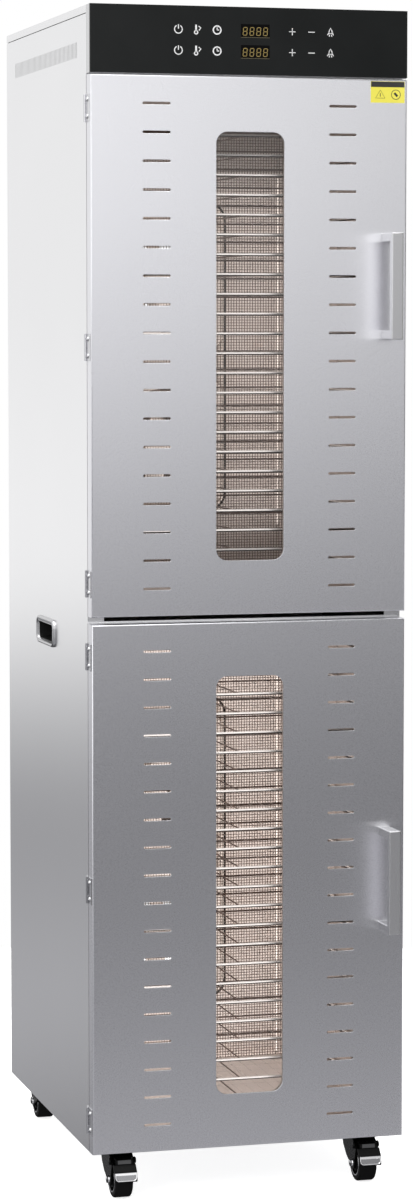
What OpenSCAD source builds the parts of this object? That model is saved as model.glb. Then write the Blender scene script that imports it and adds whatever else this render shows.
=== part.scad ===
// Tall cabinet food dehydrator: two drying chambers, one door each, on four swivel casters.
// Row frame: +Z up, -Y is the front, origin on the floor under the middle of the bounding box.
// Inside at_body() the doors' front faces lie in y = 0 and the cabinet's underside in z = 0.

/* [Cabinet] */
// Width over the side panels
body_w = 430; // [420:1:440]
// Height from the underside to the roof
body_h = 1506; // [1500:1:1520]
// Depth from the doors' front faces to the rear cover
body_d = 519; // [515:1:540]
// Sheet thickness of the outer panels
sheet = 1.2; // [1:0.1:1.5]

/* [Doors] */
// Height of each door
door_h = 703.2; // [690:0.1:703.2]
// Thickness of a door
door_t = 20; // [18:0.5:20]
// Gap between the two doors
door_gap = 9.8; // [9:0.1:14]
// Width of the window
window_w = 92; // [80:1:100]
// Height of the window
window_h = 560; // [500:1:580]
// Corner radius of the window
window_r = 15; // [8:1:20]
// Length of a vent slot
slot_l = 37; // [30:1:45]
// Height of a vent slot
slot_t = 3.2; // [2.6:0.1:4]
// Vent slots in each of a door's two columns
slot_count = 18; // [12:1:18]
// Distance from slot to slot
slot_pitch = 37.1; // [30:0.1:38]

/* [Trays] */
// Trays in each chamber
tray_count = 24; // [16:1:24]
// Distance from tray to tray
tray_pitch = 26; // [24:0.5:26]
// Width of a tray
tray_w = 380; // [360:1:382]
// Depth of a tray
tray_d = 400; // [360:1:402]
// Diameter of a tray's rim rod
rod_d = 4; // [3:0.5:4]

/* [Handles] */
// Length of a door handle
handle_l = 140; // [120:1:160]
// Distance of the grip's front face from the door
handle_out = 46; // [35:1:50]
// Width of the grip
handle_w = 16; // [12:1:18]

/* [Casters] */
// Height from the floor to the cabinet's underside
caster_h = 66; // [64:1:72]
// Diameter of a wheel
wheel_d = 50; // [44:1:50]
// Width of a wheel
wheel_w = 24; // [20:1:24]
// Distance from the swivel axis to the axle
trail = 20; // [16:1:22]

/* [Hidden] */
$fn = 48;
eps = 0.01;

// Places across the width (x) and through the depth (y)
side_x = body_w / 2;
frame_y = door_t + 2;
frame_t = 1.5;
rear_y = body_d - sheet;

// Doors, counted from the lower one
door_z = [0, door_h + door_gap];
door_skin = 1.2;
liner_y = door_t - 3;
window_lip = 12;
glass_t = 4;
slot_x = 126.5;
slot_span = (slot_count - 1) * slot_pitch;

// Chambers, as heights over their door's lower edge
chamber_lo = 22;
chamber_hi = door_h - 22;
chamber_x = 193;
liner_t = 1;
liner_back = frame_y + frame_t + 465;
first_tray = 57;
tray_y = frame_y + 13;
screen_y = tray_y + tray_d + 2.5;
fan_y = 451;
fan_z = [212, 437];
fan_w = 172;
fan_t = 36;
fan_bore_r = 77;
shroud_w = 180;
shroud_h = 425;
shroud_wall = 3;

// Roof, control head and electronics bay
roof_z = body_h - 10;
roof_seam = 1;
head_z = body_h - 88;
glass_z = head_z + 0.5;
bay_z = door_z[1] + chamber_hi + liner_t;
display_x = 6.3;
display_z = [head_z + 30.5, head_z + 57.5];

// Hinges, handles and grips
hinge_z = [43, door_h / 2, door_h - 43];
hinge_l = 35;
hinge_r = 2;
pin_r = 1;
axis_x = -side_x - hinge_r;
axis_y = door_t + 1;
leaf_t = 1.2;
handle_x = 188;
handle_leg = 12;
handle_z = [353, 431.5];
grip_y = 268.5;
grip_z = 672.5;
grip_w = 107;
grip_h = 38;
grip_frame = 7;

// Casters
caster_x = 170;
caster_y = [52, 486];
plate_t = 2.5;
king_r = 4;
axle_r = 3;
fork_gap = wheel_w + 3;
fork_t = 2.5;
fork_back = 27;
axle_z = wheel_d / 2 - caster_h;
crown_z = -plate_t - 3.3;
pedal_w = 31;
pedal_pin = [30, -15];
pedal_pin_r = 1.6;

// The origin lies under the middle of everything, from the handles to the rear wheels
back_y = max(body_d, caster_y[1] + trail + wheel_d / 2);
front_y = (handle_out - back_y) / 2;

// ---------- shapes that repeat ----------

module at_body() {
    translate([0, front_y, caster_h]) children();
}

// A box from its lowest to its highest corner
module box(lo, hi) {
    translate(lo) cube(hi - lo);
}

// Turns a flat outline in x and z into a plate from y0 to y1
module plate_xz(y0, y1) {
    translate([0, y1, 0]) rotate([90, 0, 0]) linear_extrude(y1 - y0) children();
}

// Turns a flat outline in y and z into a plate from x0 to x1
module plate_yz(x0, x1) {
    translate([x0, 0, 0]) rotate([90, 0, 90]) linear_extrude(x1 - x0) children();
}

module rounded_rect(w, h, r) {
    square([w, h - 2 * r], center = true);
    square([w - 2 * r, h], center = true);
    for (x = [-1, 1], y = [-1, 1]) translate([x * (w / 2 - r), y * (h / 2 - r)]) circle(r);
}

module slot(l, t) {
    square([l - t, t], center = true);
    for (x = [-1, 1]) translate([x * (l - t) / 2, 0]) circle(t / 2, $fn = 24);
}

// A round bar along y
module rod_y(r, y0, y1) {
    translate([0, y1, 0]) rotate([90, 0, 0]) cylinder(r = r, h = y1 - y0);
}

// A round bar along x
module rod_x(r, x0, x1) {
    translate([x0, 0, 0]) rotate([0, 90, 0]) cylinder(r = r, h = x1 - x0);
}

// ---------- cabinet ----------

module side_vents() {
    vent_pitch = 7.8;
    for (i = [0:49]) translate([76 + i * vent_pitch, 1452]) square([1.6, 20], center = true);
}

module side_panel(side) {
    x0 = side < 0 ? -side_x : side_x - sheet;
    color("gainsboro") at_body() plate_yz(x0, x0 + sheet) difference() {
        translate([frame_y, 0]) square([rear_y - frame_y, roof_z - roof_seam]);
        side_vents();
        grip_outline(2 * grip_frame - 4, 7);
    }
}

module top_cover() {
    color("gainsboro") at_body() difference() {
        box([-side_x, frame_y, roof_z], [side_x, body_d, body_h]);
        box([-side_x + sheet, frame_y - eps, roof_z - eps], [side_x - sheet, rear_y, body_h - sheet]);
    }
}

module rear_vents() {
    for (door = door_z, z = fan_z, i = [-4:4]) translate([0, door + z + i * 14]) slot(130, 5);
}

module rear_cover() {
    color("silver") at_body() difference() {
        plate_xz(rear_y, body_d) difference() {
            translate([-side_x, 0]) square([body_w, roof_z - roof_seam]);
            rear_vents();
        }
        translate([150, 0, 60]) rod_y(8.1, rear_y - 1, body_d + 1);
    }
}

module base_pan() {
    inner = side_x - sheet;
    color("silver") at_body() difference() {
        box([-inner, frame_y + frame_t, 0], [inner, rear_y, 16]);
        box([-inner + 2, frame_y + frame_t + 2, 2], [inner - 2, rear_y - 2, 17]);
        for (p = caster_places()) translate([p[0], p[1], -1]) plate_holes(2.6, 4);
    }
}

module front_frame() {
    inner = side_x - sheet;
    color("gainsboro") at_body() plate_xz(frame_y, frame_y + frame_t) difference() {
        translate([-inner, 0]) square([2 * inner, roof_z - roof_seam]);
        for (z = door_z) translate([-chamber_x, z + chamber_lo])
            square([2 * chamber_x, chamber_hi - chamber_lo]);
        translate([-chamber_x, door_z[1] - 7]) square([2 * chamber_x, 6.4]);
        translate([0, head_z + 45]) square([360, 70], center = true);
    }
}

module liner(door) {
    x1 = chamber_x + liner_t;
    color("lightgray") at_body() translate([0, 0, door]) difference() {
        box([-x1, frame_y + frame_t, chamber_lo - liner_t], [x1, liner_back, chamber_hi + liner_t]);
        box([-chamber_x, frame_y, chamber_lo], [chamber_x, liner_back - liner_t, chamber_hi]);
        for (z = fan_z) translate([0, 0, z]) rod_y(fan_bore_r, liner_back - 3, liner_back + 1);
    }
}

// Three posts and one ledge per tray on each side wall
module shelf_racks(door) {
    ledge_w = 10;
    ledge_t = 1.5;
    post_w = 12;
    top = first_tray + (tray_count - 1) * tray_pitch;
    color("silver") at_body() translate([0, 0, door]) for (side = [0, 1]) mirror([side, 0, 0]) {
        for (y = [60, 230, 400])
            box([chamber_x - ledge_t, y, chamber_lo], [chamber_x, y + post_w, top]);
        for (i = [0:tray_count - 1]) {
            z = first_tray + i * tray_pitch - rod_d / 2;
            box([chamber_x - ledge_w, tray_y + 6, z - ledge_t], [chamber_x, tray_y + tray_d - 6, z]);
        }
    }
}

// Slatted sheet between a tray's rods; the real one is wire mesh
module tray_sheet(w, d) {
    slat_n = 10;
    slat_w = 12;
    pitch = (w - slat_w) / slat_n;
    difference() {
        square([w, d], center = true);
        for (i = [0.5:slat_n - 0.5], side = [-1, 1])
            translate([(i - slat_n / 2) * pitch, side * (d - slat_w) / 4])
                square([pitch - slat_w, d / 2 - 1.5 * slat_w], center = true);
    }
}

module tray() {
    sheet_t = 0.6;
    r = rod_d / 2;
    w = tray_w / 2 - r;
    d = tray_d / 2 - r;
    for (x = [-w, w]) translate([x, 0, 0]) rod_y(r, -d, d);
    for (y = [-d, d]) translate([0, y, 0]) rod_x(r, -w, w);
    for (x = [-w, w], y = [-d, d]) translate([x, y, 0]) sphere(r);
    translate([0, 0, -sheet_t / 2]) linear_extrude(sheet_t) tray_sheet(2 * w, 2 * d);
}

module trays(door) {
    color("silver") at_body() for (i = [0:tray_count - 1])
        translate([0, tray_y + tray_d / 2, door + first_tray + i * tray_pitch]) tray();
}

// Vertical grid between trays and fans; the real one is a fine wire mesh
module rear_screens() {
    w = 2 * chamber_x;
    h = chamber_hi - chamber_lo;
    bar = 5;
    color("tan") at_body() for (z = door_z)
        translate([0, 0, z + (chamber_lo + chamber_hi) / 2]) plate_xz(screen_y, screen_y + 1.2)
            difference() {
                square([w, h], center = true);
                for (i = [-3.5:3.5], j = [-6.5:6.5])
                    translate([i * w / 8, j * h / 14]) square([w / 8 - bar, h / 14 - bar], center = true);
            }
}

// ---------- air movers and heaters ----------

module fan_frame() {
    difference() {
        plate_xz(0, fan_t) rounded_rect(fan_w, fan_w, 12);
        rod_y(fan_bore_r, -1, fan_t + 1);
    }
    for (a = [45, 135]) rotate([0, a, 0])
        box([-fan_bore_r - 2, fan_t - 4, -4], [fan_bore_r + 2, fan_t, 4]);
    rod_y(26, fan_t - 8, fan_t);
    rod_y(3, 6, fan_t - 4);
}

module fan_frames() {
    color("dimgray") at_body() for (door = door_z, z = fan_z) translate([0, fan_y, door + z]) fan_frame();
}

// Duct around a chamber's two fans, from the screen to the liner's back
module fan_shrouds() {
    corner = 28;
    color([0.1, 0.1, 0.1]) at_body() for (door = door_z)
        plate_xz(screen_y + 2.5, liner_back - liner_t)
            translate([0, door + (fan_z[0] + fan_z[1]) / 2]) difference() {
                rounded_rect(shroud_w, shroud_h, corner);
                rounded_rect(shroud_w - 2 * shroud_wall, shroud_h - 2 * shroud_wall, corner - shroud_wall);
            }
}

module fan_rotor(door, z) {
    hub_r = 28;
    blades = 7;
    color("gray") at_body() translate([0, fan_y, door + z]) difference() {
        union() {
            rod_y(hub_r, 3, 26);
            for (i = [0:blades - 1]) rotate([0, i * 360 / blades, 0]) translate([hub_r - 2, 15, 0])
                rotate([38, 0, 0]) box([0, -1, -14], [46, 1, 14]);
        }
        rod_y(3.05, 5, 30);
    }
}

// A U-shaped tube in front of each fan; its legs run back between the two fans
module heating_elements() {
    tube_r = 3.5;
    half_w = 42;
    bend_z = -62;
    leg_z = 96;
    tube_y = screen_y + 7;
    color("saddlebrown") at_body() for (door = door_z, i = [0, 1])
        translate([0, tube_y, door + fan_z[i]]) mirror([0, 0, i]) {
            translate([0, 0, bend_z]) rod_x(tube_r, -half_w - tube_r, half_w + tube_r);
            for (x = [-half_w, half_w]) translate([x, 0, 0]) {
                translate([0, 0, bend_z - tube_r]) cylinder(r = tube_r, h = leg_z - bend_z + 2 * tube_r);
                translate([0, 0, leg_z]) rod_y(tube_r, -tube_r, liner_back - liner_t - tube_y);
            }
        }
}

module temperature_probes() {
    color("silver") at_body() for (door = door_z)
        translate([150, 0, door + door_h / 2]) {
            rod_y(3, liner_back - 40, liner_back - liner_t);
            rod_y(6, liner_back - 6, liner_back - liner_t);
        }
}

// ---------- control head and electronics ----------

module control_housing() {
    y0 = glass_t;
    color("darkgray") at_body() difference() {
        box([-side_x, y0, head_z], [side_x, frame_y, body_h]);
        box([-side_x + sheet, y0 - 1, head_z + sheet], [side_x - sheet, frame_y + 1, body_h - sheet]);
    }
}

module control_glass() {
    color([0.08, 0.08, 0.09]) at_body() box([-side_x, 0, glass_z], [side_x, glass_t, body_h]);
}

module display_modules() {
    color("darkgoldenrod") at_body() for (z = display_z)
        box([display_x - 20, glass_t, z - 8], [display_x + 20, 12, z + 8]);
}

module control_board() {
    color("darkgreen") at_body() box([-150, 12, head_z + 14], [150, 13.6, head_z + 76]);
}

module power_board() {
    color("seagreen") at_body() translate([-60, 120, bay_z + 8]) {
        box([0, 0, 0], [170, 120, 1.6]);
        for (x = [10, 44, 78]) box([x, 70, 1.6], [x + 28, 100, 22]);
        box([20, 14, 1.6], [68, 54, 36]);
        for (x = [90, 118, 146]) translate([x, 34, 1.6]) cylinder(r = 9, h = 28);
        for (x = [6, 164], y = [6, 114]) translate([x, y, -8]) cylinder(r = 3.5, h = 8);
    }
}

module cable_gland() {
    bore_r = 4.5;
    color([0.12, 0.12, 0.12]) at_body() translate([150, 0, 60]) difference() {
        union() {
            rod_y(8, rear_y - 12, body_d);
            rod_y(12, rear_y - 6, rear_y);
        }
        rod_y(bore_r, rear_y - 13, body_d + 1);
    }
}

// ---------- hand grips in the side panels ----------

module grip_outline(less, r) {
    translate([grip_y, grip_z]) rounded_rect(grip_w - less, grip_h - less, r);
}

module side_grip_bezels() {
    out = 2 * hinge_r;
    color("silver") at_body() for (side = [0, 1]) mirror([side, 0, 0])
        plate_yz(side_x, side_x + out) difference() {
            grip_outline(0, 12);
            grip_outline(2 * grip_frame, 5);
        }
}

module side_grip_cups() {
    depth = 17;
    wall = 1.5;
    color([0.1, 0.1, 0.1]) at_body() for (side = [0, 1]) mirror([side, 0, 0]) difference() {
        plate_yz(side_x - depth, side_x) grip_outline(2 * grip_frame - 3, 6.5);
        plate_yz(side_x - depth + wall, side_x + 1) grip_outline(2 * grip_frame, 5);
    }
}

// ---------- hinges, magnets and screws ----------

// Plate on one side of the pin, and the knuckles it carries; +y side if back is 1
module hinge_leaf(back) {
    third = hinge_l / 3;
    y0 = back ? 2.2 : -19.6;
    y1 = back ? 11 : -2.2;
    spans = back ? [[-third / 2, third / 2]] : [[-hinge_l / 2, -third / 2 - 0.2], [third / 2 + 0.2, hinge_l / 2]];
    difference() {
        union() {
            box([hinge_r - leaf_t, y0, -hinge_l / 2], [hinge_r, y1, hinge_l / 2]);
            for (s = spans) {
                translate([0, 0, s[0]]) cylinder(r = hinge_r, h = s[1] - s[0]);
                box([hinge_r - leaf_t, back ? 0 : -3, s[0]], [hinge_r - 0.3, back ? 3 : 0, s[1]]);
            }
        }
        translate([0, 0, -hinge_l]) cylinder(r = pin_r + 0.04, h = 2 * hinge_l, $fn = 24);
    }
}

module at_hinges(door) {
    at_body() for (z = hinge_z) translate([axis_x, axis_y, door + z]) children();
}

module door_hinge_leaves(door) {
    color("slategray") at_hinges(door) hinge_leaf(0);
}

module cabinet_hinge_leaves() {
    color("slategray") for (door = door_z) at_hinges(door) hinge_leaf(1);
}

module hinge_pins() {
    color("silver") for (door = door_z) at_hinges(door)
        translate([0, 0, -hinge_l / 2 - 0.8]) cylinder(r = pin_r, h = hinge_l + 1.6, $fn = 24);
}

module door_magnets() {
    color([0.15, 0.15, 0.15]) at_body() for (door = door_z)
        box([205, frame_y - 3.2, door + 331], [212, frame_y, door + 371]);
}

// Pan head that stands on a plane, facing -x
module side_screw_head() {
    rotate([0, -90, 0]) cylinder(r1 = 3, r2 = 2.2, h = 0.9, $fn = 24);
}

module cabinet_screws() {
    color("silver") {
        for (door = door_z) at_hinges(door) for (z = [-11, 11])
            translate([hinge_r - leaf_t, 6.6, z]) side_screw_head();
        at_body() for (x = [-1, 1], z = [30, 380, 730, 1080, 1430])
            translate([x * (side_x - 9), body_d, z]) rotate([-90, 0, 0]) cylinder(r1 = 3.5, r2 = 2.8, h = eps + 0.6);
    }
}

// ---------- doors ----------

module window_outline(grow) {
    translate([0, door_h / 2]) rounded_rect(window_w + 2 * grow, window_h + 2 * grow, window_r + grow);
}

module vent_slots(grow) {
    for (side = [-1, 1], i = [0:slot_count - 1])
        translate([side * slot_x, (door_h - slot_span) / 2 + i * slot_pitch])
            slot(slot_l + 2 * grow, slot_t + 2 * grow);
}

module door_shell(door) {
    inner = side_x - door_skin;
    color("lightsteelblue") at_body() translate([0, 0, door]) {
        plate_xz(0, door_skin) difference() {
            translate([-side_x, 0]) square([body_w, door_h]);
            window_outline(0);
            vent_slots(0);
        }
        difference() {
            box([-side_x, door_skin, 0], [side_x, door_t, door_h]);
            box([-inner, door_skin - 1, door_skin], [inner, door_t + 1, door_h - door_skin]);
        }
    }
}

// Inner plate, with a collar that closes the gap around the window
module door_liner(door) {
    inner = side_x - door_skin - 0.1;
    skirt_y = door_skin + glass_t;
    color("silver") at_body() translate([0, 0, door]) {
        plate_xz(liner_y, liner_y + door_skin) difference() {
            translate([-inner, door_skin + 0.1]) square([2 * inner, door_h - 2 * door_skin - 0.2]);
            window_outline(4);
            vent_slots(2);
        }
        plate_xz(skirt_y, liner_y + eps) difference() {
            window_outline(5);
            window_outline(4);
        }
    }
}

module door_glass(door) {
    color([0.5, 0.45, 0.4, 0.35]) at_body() translate([0, 0, door])
        box([-window_w / 2 - window_lip, door_skin, (door_h - window_h) / 2 - window_lip],
            [window_w / 2 + window_lip, door_skin + glass_t, (door_h + window_h) / 2 + window_lip]);
}

module door_seal(door) {
    color([0.85, 0.85, 0.83]) at_body() translate([0, 0, door])
        plate_xz(liner_y + door_skin, frame_y) translate([0, door_h / 2]) difference() {
            rounded_rect(404, 674, 6);
            rounded_rect(392, 662, 3);
        }
}

// Straight grip on two legs, each with a blind screw hole from behind
module door_handle(door, z) {
    leg_z = (handle_l - handle_leg) / 2;
    color("lightgray") at_body() translate([handle_x, 0, door + z]) difference() {
        box([-handle_w / 2, -handle_out, -handle_l / 2], [handle_w / 2, 0, handle_l / 2]);
        box([-handle_w / 2 - 1, -handle_out + 10, -handle_l / 2 + handle_leg],
            [handle_w / 2 + 1, 1, handle_l / 2 - handle_leg]);
        for (s = [-1, 1]) translate([0, 0, s * leg_z]) rod_y(2.05, -16, 1);
    }
}

module door_screws(door, z) {
    leg_z = (handle_l - handle_leg) / 2;
    color("silver") {
        at_body() translate([handle_x, 0, door + z]) for (s = [-1, 1]) translate([0, 0, s * leg_z])
            rod_y(4, door_skin, door_skin + 2.6);
        at_hinges(door) for (z = [-11, 11])
            translate([hinge_r - leaf_t, -10.5, z]) side_screw_head();
    }
}

module door_label() {
    color("gold") at_body()
        box([164.5, -0.2, door_z[1] + door_h - 30.5], [211.5, 0, door_z[1] + door_h - 2.5]);
}

// ---------- casters ----------

function caster_places() = [for (y = caster_y, x = [-caster_x, caster_x]) [x, y]];

module plate_holes(r, h) {
    for (x = [-18, 18], y = [-21, 21]) translate([x, y, 0]) cylinder(r = r, h = h);
}

module caster_plates() {
    color("dimgray") at_body() for (p = caster_places()) translate([p[0], p[1], 0]) {
        difference() {
            box([-25, -31, -plate_t], [25, 31, 0]);
            translate([0, 0, -plate_t - 1]) plate_holes(2.6, plate_t + 2);
        }
        translate([0, 0, -plate_t - 3]) cylinder(r = 17, h = 3);
        translate([0, 0, crown_z - 5]) cylinder(r = king_r, h = 5);
        translate([0, 0, crown_z - 7]) cylinder(r = 6.5, h = 2.7);
    }
}

module caster_bolts() {
    color("silver") at_body() for (p = caster_places()) translate([p[0], p[1], 0]) {
        translate([0, 0, -plate_t]) plate_holes(2.5, plate_t + 6);
        translate([0, 0, -plate_t - 2]) plate_holes(4.2, 2);
        translate([0, 0, 2]) plate_holes(4.2, 3);
    }
}

// Frame of one caster: origin on the swivel axis, and +y towards the wheel
module at_caster(i) {
    p = caster_places()[i];
    at_body() translate([p[0], p[1], 0]) mirror([0, i < 2 ? 1 : 0, 0]) children();
}

module fork_side() {
    polygon([
        [-fork_back, crown_z], [18, crown_z], [36, pedal_pin[1] - 1], [36, pedal_pin[1] - 5],
        [trail + 9, axle_z + 2], [trail - 8, axle_z - 3], [-6, -36], [-19, -25], [-26, -14]
    ]);
    translate([trail, axle_z]) circle(9);
}

module caster_fork(i) {
    half = fork_gap / 2;
    color([0.1, 0.1, 0.1]) at_caster(i) {
        difference() {
            union() {
                box([-half - fork_t, -fork_back, crown_z - 4], [half + fork_t, 18, crown_z]);
                for (x = [-half - fork_t, half]) plate_yz(x, x + fork_t) fork_side();
            }
            translate([0, 0, crown_z - 5]) cylinder(r = king_r + 0.05, h = 6);
            translate([0, trail, axle_z]) rod_x(axle_r, -half - 4, half + 4);
            translate([0, pedal_pin[0], pedal_pin[1]]) rod_x(pedal_pin_r + 0.05, -half - 4, half + 4);
        }
        translate([0, trail, axle_z]) {
            rod_x(axle_r, -half - fork_t, half + fork_t);
            rod_x(5, -half - fork_t - 3, -half - fork_t);
            rod_x(5, half + fork_t, half + fork_t + 3);
        }
    }
}

// Solid wheel with rounded shoulders and sunk hub faces
module caster_wheel(i) {
    r = wheel_d / 2;
    w = wheel_w / 2;
    edge = 3;
    bore = axle_r + 0.06;
    color([0.08, 0.08, 0.08]) at_caster(i) translate([0, trail, axle_z]) rotate([0, 90, 0])
        rotate_extrude($fn = 64) {
            translate([bore, -w]) square([8, 2 * w]);
            translate([bore, -w + 4]) square([r - edge - bore, 2 * w - 8]);
            translate([r - 8, -w]) square([8 - edge, 2 * w]);
            translate([r - edge - eps, -w + edge]) square([edge + eps, 2 * (w - edge)]);
            for (s = [-1, 1]) translate([r - edge, s * (w - edge)]) circle(edge, $fn = 32);
        }
}

// Bent plate over the wheel, on a pin through the fork's sides
module brake_pedal(i) {
    color([0.12, 0.12, 0.12]) at_caster(i) {
        plate_yz(-pedal_w / 2, pedal_w / 2) polygon([
            [38.5, -11], [44, -13], [54, -36], [52.5, -39], [50, -38], [51, -35], [42, -15.5], [38.5, -14]
        ]);
        plate_yz(-fork_gap / 2 + 0.5, fork_gap / 2 - 0.5) polygon([
            [26, -9.8], [38.5, -11], [38.5, -14], [34, -16.8], [26, -13.2]
        ]);
        translate([0, pedal_pin[0], pedal_pin[1]]) rod_x(pedal_pin_r, -fork_gap / 2 - 3, fork_gap / 2 + 3);
    }
}

// ---------- drawing ----------

side_panel(-1);  // left_side_panel
side_panel(1);  // right_side_panel
top_cover();
rear_cover();
base_pan();
front_frame();
liner(door_z[1]);  // upper_liner
liner(door_z[0]);  // lower_liner
shelf_racks(door_z[1]);  // upper_shelf_racks
shelf_racks(door_z[0]);  // lower_shelf_racks
trays(door_z[1]);  // upper_trays
trays(door_z[0]);  // lower_trays
rear_screens();
heating_elements();
fan_shrouds();
fan_frames();
temperature_probes();
control_housing();
control_glass();
display_modules();
control_board();
power_board();
cable_gland();
side_grip_bezels();
side_grip_cups();
caster_plates();
caster_bolts();
cabinet_hinge_leaves();
hinge_pins();
cabinet_screws();
door_magnets();
door_shell(door_z[1]);  // upper_door_shell
door_liner(door_z[1]);  // upper_door_liner
door_glass(door_z[1]);  // upper_door_glass
door_seal(door_z[1]);  // upper_door_seal
door_handle(door_z[1], handle_z[1]);  // upper_door_handle
door_hinge_leaves(door_z[1]);  // upper_door_hinge_leaves
door_screws(door_z[1], handle_z[1]);  // upper_door_screws
door_label();
door_shell(door_z[0]);  // lower_door_shell
door_liner(door_z[0]);  // lower_door_liner
door_glass(door_z[0]);  // lower_door_glass
door_seal(door_z[0]);  // lower_door_seal
door_handle(door_z[0], handle_z[0]);  // lower_door_handle
door_hinge_leaves(door_z[0]);  // lower_door_hinge_leaves
door_screws(door_z[0], handle_z[0]);  // lower_door_screws
fan_rotor(door_z[1], fan_z[1]);  // upper_fan_a
fan_rotor(door_z[1], fan_z[0]);  // upper_fan_b
fan_rotor(door_z[0], fan_z[1]);  // lower_fan_a
fan_rotor(door_z[0], fan_z[0]);  // lower_fan_b
caster_fork(0);  // caster_fork_fl
caster_fork(1);  // caster_fork_fr
caster_fork(2);  // caster_fork_rl
caster_fork(3);  // caster_fork_rr
caster_wheel(0);  // caster_wheel_fl
caster_wheel(1);  // caster_wheel_fr
caster_wheel(2);  // caster_wheel_rl
caster_wheel(3);  // caster_wheel_rr
brake_pedal(0);  // brake_pedal_fl
brake_pedal(1);  // brake_pedal_fr
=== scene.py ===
import math

import bmesh
import bpy
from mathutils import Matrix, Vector
from mathutils.geometry import tessellate_polygon


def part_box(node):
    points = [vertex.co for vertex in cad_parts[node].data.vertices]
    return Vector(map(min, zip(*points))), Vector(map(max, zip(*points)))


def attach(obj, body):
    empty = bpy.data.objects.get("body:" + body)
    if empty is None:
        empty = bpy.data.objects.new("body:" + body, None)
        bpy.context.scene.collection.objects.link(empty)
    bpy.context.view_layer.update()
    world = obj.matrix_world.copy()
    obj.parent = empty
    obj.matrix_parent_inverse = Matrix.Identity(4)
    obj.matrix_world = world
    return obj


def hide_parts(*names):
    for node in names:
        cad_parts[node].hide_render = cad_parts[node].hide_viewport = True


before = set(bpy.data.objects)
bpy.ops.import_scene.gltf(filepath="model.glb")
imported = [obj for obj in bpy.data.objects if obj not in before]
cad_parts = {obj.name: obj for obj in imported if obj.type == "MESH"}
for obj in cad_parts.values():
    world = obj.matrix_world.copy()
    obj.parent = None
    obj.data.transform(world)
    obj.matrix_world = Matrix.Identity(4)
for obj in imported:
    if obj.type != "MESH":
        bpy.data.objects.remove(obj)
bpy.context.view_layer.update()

# ---------- the cabinet's measures, in metres ----------

ZONES = ("upper", "lower")
CORNERS = ("fl", "fr", "rl", "rr")
FLOOR_Z = 0.0
SHEET = 0.0012
DOOR_BEND = 0.0018
WINDOW = (0.092, 0.560, 0.015)
SLOT = (0.037, 0.0032)
SLOT_X = 0.1265
SLOT_PITCH = 0.0371
SLOT_COUNT = 18
TRAY_COUNT = 24
TRAY_PITCH = 0.026
TRAY_ROD = 0.002
TRAY_BACK_ROD = 0.0013
TRAY_BRACE = 0.001
TRAY_WIRE = 0.00012
TRAY_WIRE_PITCH = 0.016
TRAY_CROSS_PITCH = 0.075
SCREEN_PITCH = 0.004
SCREEN_WIRE = 0.0006
SCREEN_STRIP = 0.1675
SCREEN_STRIP_HALF = 0.001
KEY_X = {"power": -0.0973, "heat": -0.0716, "clock": -0.0453, "plus": 0.0566, "minus": 0.0828,
         "boost": 0.1089}
DISPLAY = (0.039, 0.017)
DIGIT_PITCH = 0.0092
DUCT_HEIGHT = 0.445
DUCT_RISE = 0.010
HINGE_LEAF = 0.035
CASTER_TRAIL = 0.020
CASTER_HEIGHT = 0.066


# ---------- materials ----------

def new_material(name):
    """A node material with a plain Principled shader; returns material, nodes, links and shader."""
    mat = bpy.data.materials.new(name)
    mat.use_nodes = True
    nodes, links = mat.node_tree.nodes, mat.node_tree.links
    return mat, nodes, links, nodes["Principled BSDF"]


def coords(nodes, links, scale):
    """Object coordinates in metres, stretched by scale."""
    where = nodes.new("ShaderNodeTexCoord")
    mapping = nodes.new("ShaderNodeMapping")
    mapping.inputs["Scale"].default_value = scale
    links.new(where.outputs["Object"], mapping.inputs["Vector"])
    return mapping.outputs["Vector"]


def noise(nodes, links, scale, detail=3.0):
    """Noise between 0 and 1, with scale giving its waves per metre along x, y and z."""
    tex = nodes.new("ShaderNodeTexNoise")
    tex.inputs["Scale"].default_value = 1.0
    tex.inputs["Detail"].default_value = detail
    links.new(coords(nodes, links, scale), tex.inputs["Vector"])
    return tex.outputs["Fac"]


def ramp(nodes, links, fac, low, high, start=0.3, end=0.7):
    """Blend from colour low to colour high as fac goes from start to end."""
    node = nodes.new("ShaderNodeValToRGB")
    node.color_ramp.elements[0].position = start
    node.color_ramp.elements[1].position = end
    node.color_ramp.elements[0].color = (*low, 1)
    node.color_ramp.elements[1].color = (*high, 1)
    links.new(fac, node.inputs["Fac"])
    return node.outputs["Color"]


def spread(nodes, links, fac, low, high):
    """Number that goes from low to high over the middle of a noise's range."""
    node = nodes.new("ShaderNodeMapRange")
    node.inputs["From Min"].default_value = 0.3
    node.inputs["From Max"].default_value = 0.7
    node.inputs["To Min"].default_value = low
    node.inputs["To Max"].default_value = high
    links.new(fac, node.inputs["Value"])
    return node.outputs["Result"]


def bump(nodes, links, shader, fac, strength, depth):
    """Relief that follows fac, depth metres high."""
    node = nodes.new("ShaderNodeBump")
    node.inputs["Strength"].default_value = strength
    node.inputs["Distance"].default_value = depth
    links.new(fac, node.inputs["Height"])
    links.new(node.outputs["Normal"], shader.inputs["Normal"])


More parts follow.
